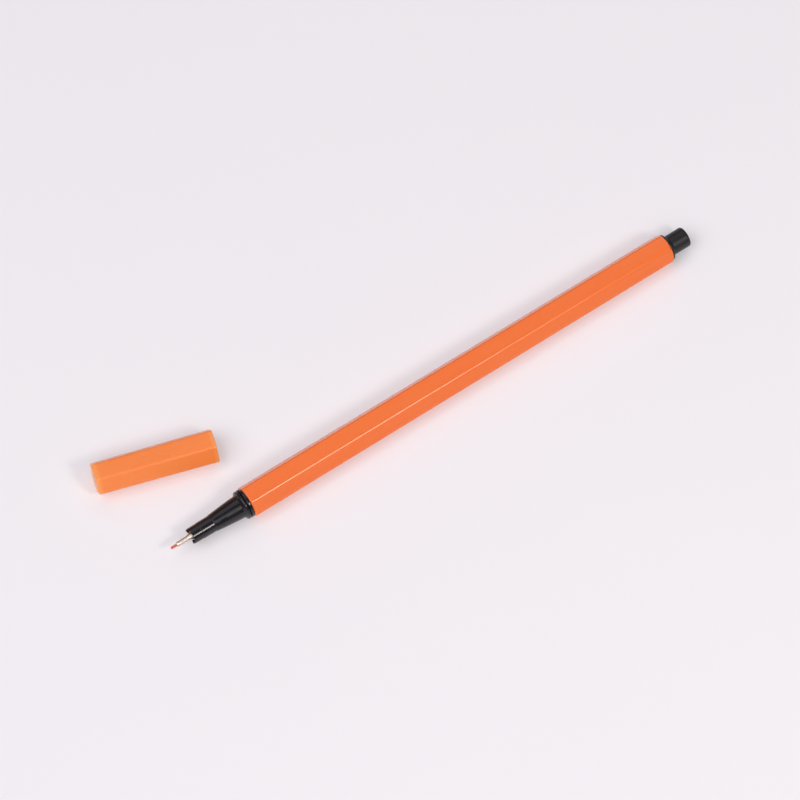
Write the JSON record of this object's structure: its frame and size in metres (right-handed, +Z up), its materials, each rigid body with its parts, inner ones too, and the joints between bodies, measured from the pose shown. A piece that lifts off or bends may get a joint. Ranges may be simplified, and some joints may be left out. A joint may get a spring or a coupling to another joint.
{
  "type": "felt tip marker",
  "caption": "Hexagonal felt tip fineliner with a metal-sleeved nib, black front section and end plug, and its push-on hexagonal cap lying off beside the nose.",
  "frame": {"origin": "on the surface the pen lies on, below the middle of the barrel's length, at the middle of the barrel's lower flat", "axes": "+X along the pen from the nib towards the end plug, +Y towards the side on which the cap lies, +Z up"},
  "size_m": [0.1634, 0.0352, 0.0082],
  "materials": {
    "barrel_orange": "satin moulded polypropylene",
    "cap_orange": "satin moulded polypropylene, slightly translucent",
    "section_black": "glossy moulded polypropylene",
    "plug_black": "satin moulded polypropylene",
    "holder_pale": "natural moulded polypropylene",
    "tip_steel": "drawn stainless steel",
    "nib_fibre": "ink-stained acetal capillary rod",
    "reservoir_fibre": "ink-soaked bonded polyester fibre",
    "wrap_film": "clear polypropylene film",
    "liner_pale": "soft natural polyethylene"
  },
  "bodies": {
    "pen": {"barrel": "barrel_orange", "section": "section_black", "tip_holder": "holder_pale", "tip_sleeve": "tip_steel", "nib": "nib_fibre", "reservoir": "reservoir_fibre", "reservoir_wrap": "wrap_film", "end_plug": "plug_black"},
    "cap": {"cap_shell": "cap_orange", "cap_liner": "liner_pale"}
  },
  "joints": [
    {"name": "cap_slide", "type": "slide", "parent": "pen", "child": "cap", "axis": [-0.9573, 0.289, 0], "range_m": [0, 0.027]}
  ]
}
